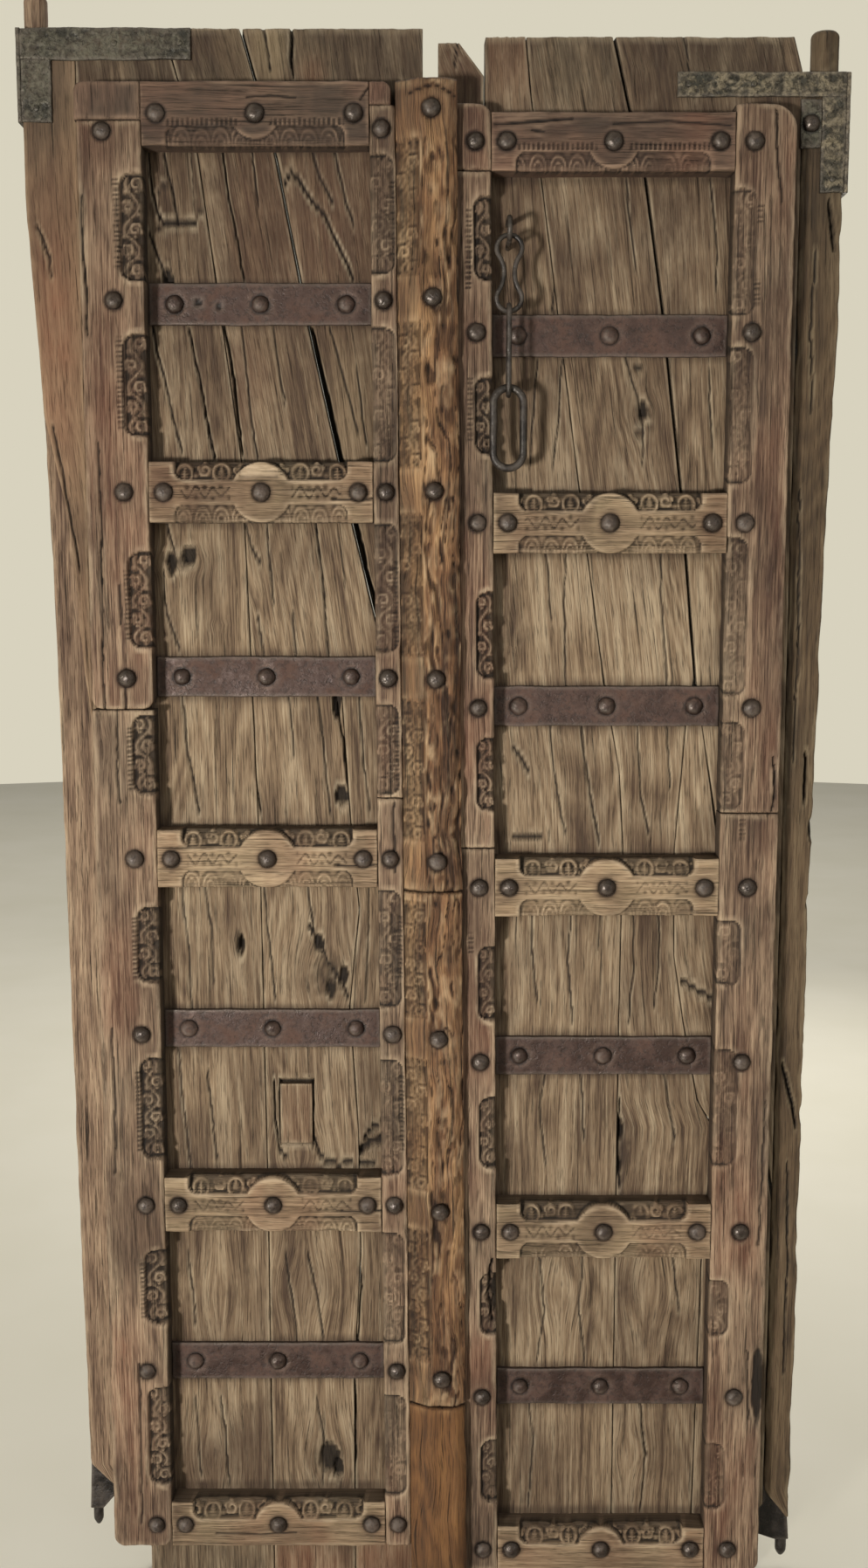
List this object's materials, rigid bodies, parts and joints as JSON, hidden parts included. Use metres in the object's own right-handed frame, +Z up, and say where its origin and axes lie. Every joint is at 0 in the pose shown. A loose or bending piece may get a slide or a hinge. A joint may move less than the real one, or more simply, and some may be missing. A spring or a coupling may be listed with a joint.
{
  "type": "wooden double door",
  "caption": "worn wooden double door with carved stiles and rails, slanted planks, iron straps, domed studs and a hanging hasp chain",
  "frame": {"origin": "middle of the door's width and depth, at the foot of the planks", "axes": "+X towards the right leaf, +Y from the carved front to the back, +Z up"},
  "size_m": [1.038, 0.108, 2.11],
  "materials": {
    "panel_wood": "matte",
    "frame_wood": "matte",
    "red_wood": "matte",
    "strip_wood": "matte",
    "new_wood": "matte",
    "strap_iron": "matte",
    "stud_iron": "matte",
    "corner_iron": "matte",
    "chain_iron": "matte"
  },
  "bodies": {
    "left_leaf": {"left_plank_outer": "panel_wood", "left_plank_middle": "panel_wood", "left_plank_wedge": "panel_wood", "left_plank_lower": "panel_wood", "left_plank_patch": "panel_wood", "left_pivot_board": "frame_wood", "left_edge_facing": "frame_wood", "left_outer_stile_upper": "frame_wood", "left_outer_stile_lower": "frame_wood", "left_inner_stile_upper": "frame_wood", "left_inner_stile_lower": "frame_wood", "left_rail_1": "frame_wood", "left_rail_2": "frame_wood", "left_rail_3": "frame_wood", "left_bottom_rail": "frame_wood", "left_top_rail": "red_wood", "cover_strip_upper": "strip_wood", "cover_strip_middle": "strip_wood", "cover_strip_lower": "new_wood", "left_strap_1": "strap_iron", "left_strap_2": "strap_iron", "left_strap_3": "strap_iron", "left_strap_4": "strap_iron", "left_bottom_shoe": "strap_iron", "left_stile_studs": "stud_iron", "left_rail_studs": "stud_iron", "left_strap_studs": "stud_iron", "cover_strip_studs": "stud_iron", "left_corner_iron": "corner_iron"},
    "right_leaf": {"right_meeting_board": "panel_wood", "right_plank_inner": "panel_wood", "right_plank_middle": "panel_wood", "right_plank_outer": "panel_wood", "right_plank_lower": "panel_wood", "right_pivot_board": "frame_wood", "right_outer_stile_upper": "frame_wood", "right_outer_stile_lower": "frame_wood", "right_inner_stile_block": "frame_wood", "right_inner_stile_upper": "frame_wood", "right_inner_stile_lower": "frame_wood", "right_top_rail": "frame_wood", "right_rail_1": "frame_wood", "right_rail_2": "frame_wood", "right_rail_3": "frame_wood", "right_bottom_rail": "frame_wood", "right_strap_1": "strap_iron", "right_strap_2": "strap_iron", "right_strap_3": "strap_iron", "right_strap_4": "strap_iron", "right_bottom_shoe": "strap_iron", "right_stile_studs": "stud_iron", "right_rail_studs": "stud_iron", "right_strap_studs": "stud_iron", "right_corner_iron": "corner_iron", "right_corner_plate": "corner_iron", "chain_staple": "chain_iron"},
    "figure_eight": {"figure_eight_link": "chain_iron"},
    "long_link": {"long_link": "chain_iron"},
    "end_ring": {"end_ring": "chain_iron"}
  },
  "joints": [
    {"name": "right_leaf_swing", "type": "hinge", "parent": "left_leaf", "child": "right_leaf", "pos_m": [0.49, 0.034, 1], "axis": [0, 0, -1], "range_deg": [0, 100]},
    {"name": "figure_eight_swing", "type": "hinge", "parent": "right_leaf", "child": "figure_eight", "pos_m": [0.093, -0.033, 1.816], "axis": [-1, 0, 0], "range_deg": [0, 90]},
    {"name": "long_link_swing", "type": "hinge", "parent": "figure_eight", "child": "long_link", "pos_m": [0.093, -0.033, 1.7155], "axis": [-1, 0, 0], "range_deg": [0, 60]},
    {"name": "end_ring_swing", "type": "hinge", "parent": "long_link", "child": "end_ring", "pos_m": [0.093, -0.033, 1.6255], "axis": [-1, 0, 0], "range_deg": [0, 60]}
  ]
}
